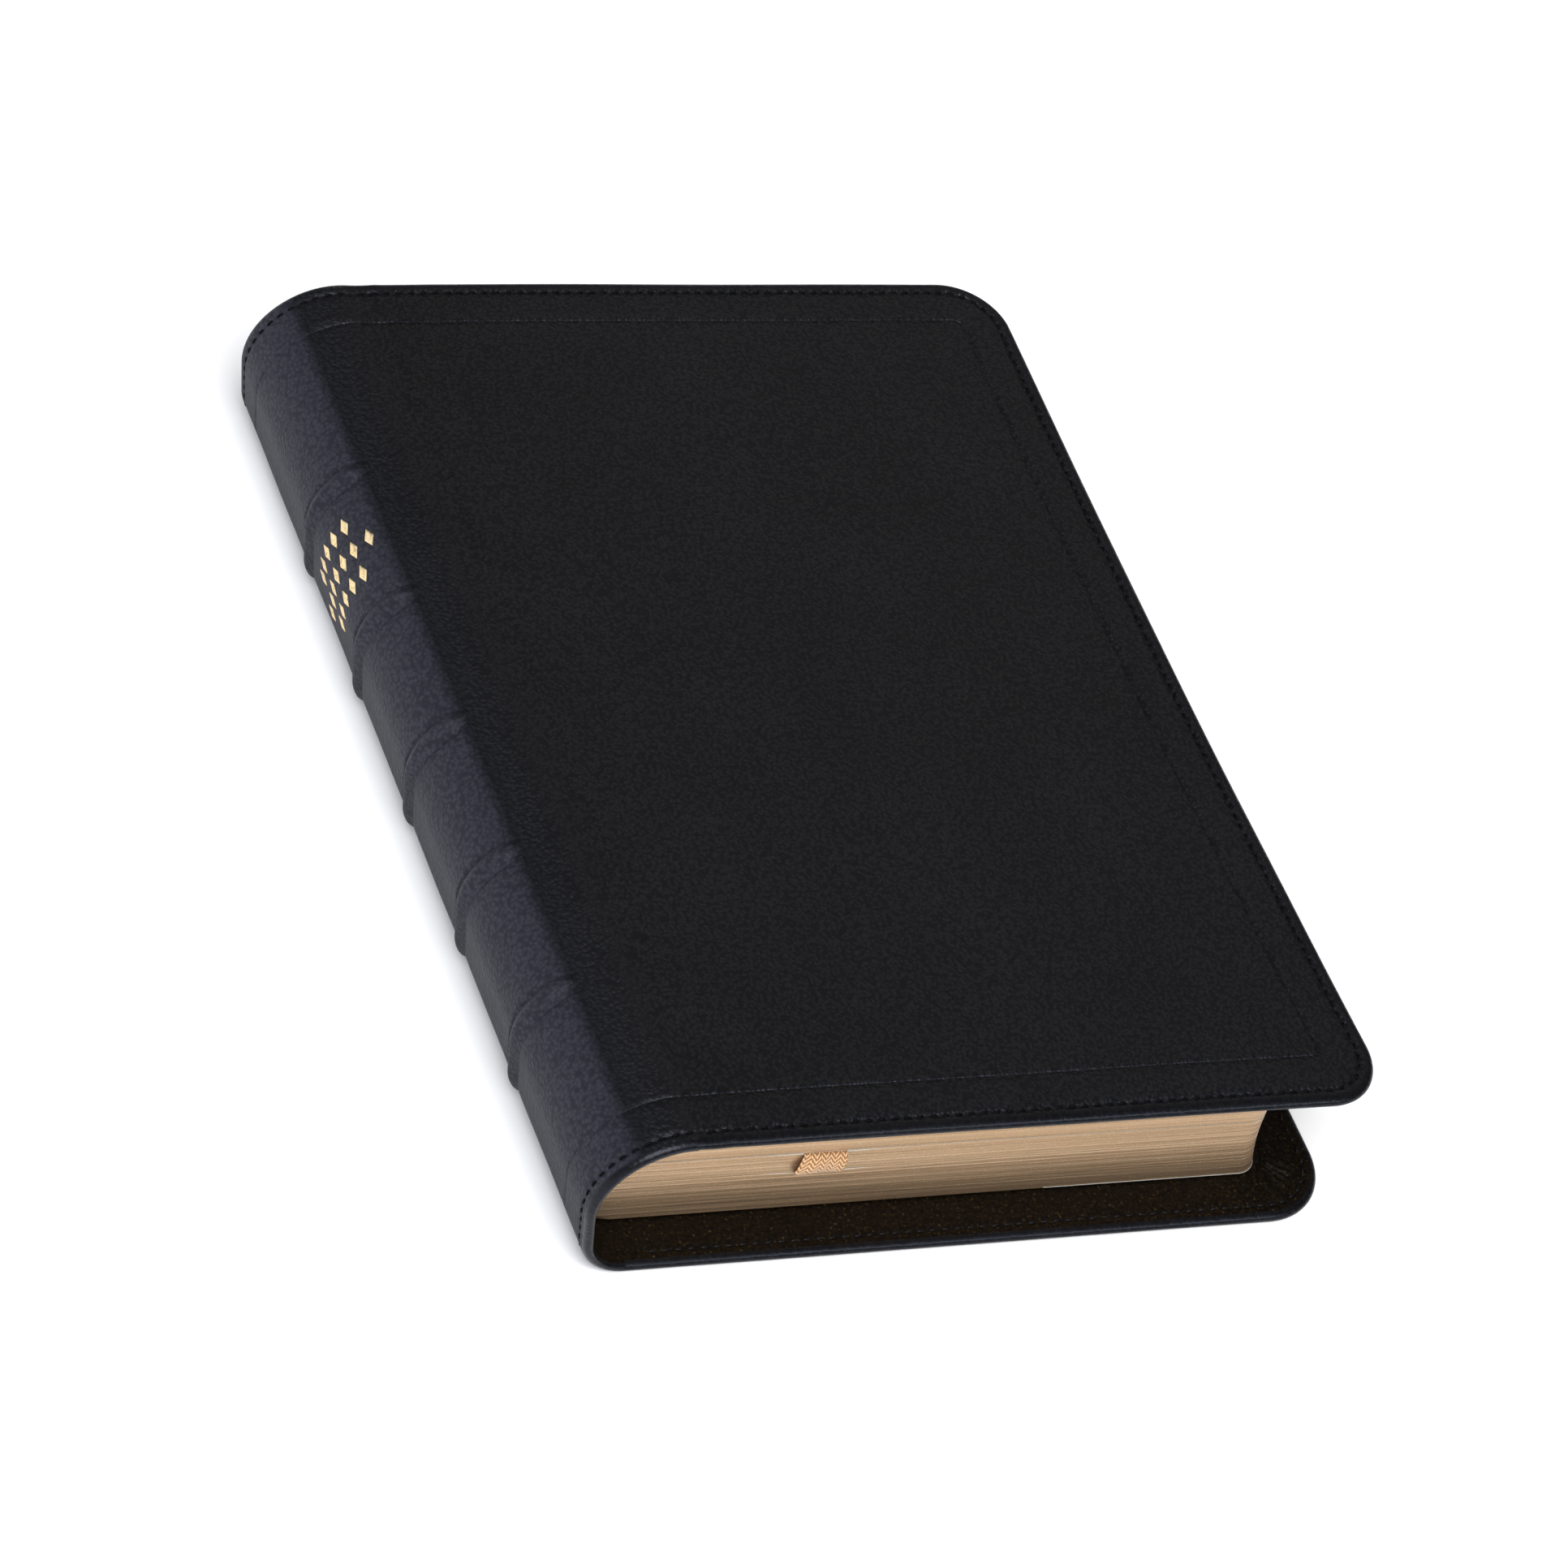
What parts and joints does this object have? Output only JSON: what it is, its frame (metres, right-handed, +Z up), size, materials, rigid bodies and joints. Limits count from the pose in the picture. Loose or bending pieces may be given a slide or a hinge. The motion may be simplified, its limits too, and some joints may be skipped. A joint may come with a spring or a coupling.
{
  "type": "leather-bound book",
  "caption": "Closed limp-leather book with rounded spine, raised bands, overhanging stitched covers, gilt pages and a marker ribbon; covers and pages open.",
  "frame": {"origin": "middle of the book's footprint, on the flat outer face of the back cover", "axes": "+X from the spine towards the fore-edge, +Y from tail to head, +Z up from the back cover to the front cover"},
  "size_m": [0.152, 0.2, 0.0335],
  "materials": {
    "cover_leather": "fine grain, semi-matt",
    "board": "plain card",
    "lining": "smooth, satin",
    "thread": "waxed thread",
    "spine_inlay": "plain card",
    "mull": "open-weave cloth",
    "gold_foil": "gold leaf, satin",
    "band_core": "pressed card strip",
    "gilt_pages": "thin paper with gilt edges",
    "ribbon": "woven satin",
    "leaf_paper": "thin paper with gilt edge"
  },
  "bodies": {
    "rear_pages": {"raised_band_1_back": "band_core", "raised_band_2_back": "band_core", "raised_band_3_back": "band_core", "raised_band_4_back": "band_core", "raised_band_5_back": "band_core", "ribbon_marker": "ribbon", "signature_01": "gilt_pages", "signature_02": "gilt_pages", "signature_03": "gilt_pages", "signature_04": "gilt_pages", "signature_05": "gilt_pages", "signature_06": "gilt_pages", "signature_07": "gilt_pages", "signature_08": "gilt_pages", "signature_09": "gilt_pages", "signature_10": "gilt_pages", "signature_11": "gilt_pages", "signature_12": "gilt_pages", "spine_inlay_back": "spine_inlay", "spine_leather_back": "cover_leather", "spine_mull_back": "mull", "spine_ornament_back": "gold_foil", "spine_thread_back": "thread"},
    "front_pages": {"raised_band_1_front": "band_core", "raised_band_2_front": "band_core", "raised_band_3_front": "band_core", "raised_band_4_front": "band_core", "raised_band_5_front": "band_core", "signature_13": "gilt_pages", "signature_14": "gilt_pages", "signature_15": "gilt_pages", "signature_16": "gilt_pages", "signature_17": "gilt_pages", "signature_18": "gilt_pages", "signature_19": "gilt_pages", "signature_20": "gilt_pages", "signature_21": "gilt_pages", "signature_22": "gilt_pages", "signature_23": "gilt_pages", "signature_24": "gilt_pages", "spine_inlay_front": "spine_inlay", "spine_leather_front": "cover_leather", "spine_mull_front": "mull", "spine_ornament_front": "gold_foil", "spine_thread_front": "thread"},
    "front_cover": {"front_board": "board", "front_bobbin_thread": "thread", "front_cover_leather": "cover_leather", "front_lining": "lining", "front_needle_thread": "thread"},
    "back_cover": {"back_board": "board", "back_bobbin_thread": "thread", "back_cover_leather": "cover_leather", "back_lining": "lining", "back_needle_thread": "thread"},
    "marked_leaf": {"marked_leaf": "leaf_paper"}
  },
  "joints": [
    {"name": "ribbon_opening", "type": "hinge", "parent": "rear_pages", "child": "front_pages", "pos_m": [-0.0763, 0, 0.01675], "axis": [0, -1, 0], "range_deg": [0, 179]},
    {"name": "front_cover_hinge", "type": "hinge", "parent": "front_pages", "child": "front_cover", "pos_m": [-0.0595, 0, 0.0339], "axis": [0, -1, 0], "range_deg": [0, 179]},
    {"name": "back_cover_hinge", "type": "hinge", "parent": "rear_pages", "child": "back_cover", "pos_m": [-0.0595, 0, -0.0021], "axis": [0, 1, 0], "range_deg": [0, 179]},
    {"name": "marked_leaf_turn", "type": "hinge", "parent": "rear_pages", "child": "marked_leaf", "pos_m": [-0.0763, 0, 0.01675], "axis": [0, -1, 0], "range_deg": [0, 89.5]}
  ],
  "couplings": [
    {"joint": "marked_leaf_turn", "follows": "ribbon_opening", "ratio": 0.5}
  ]
}
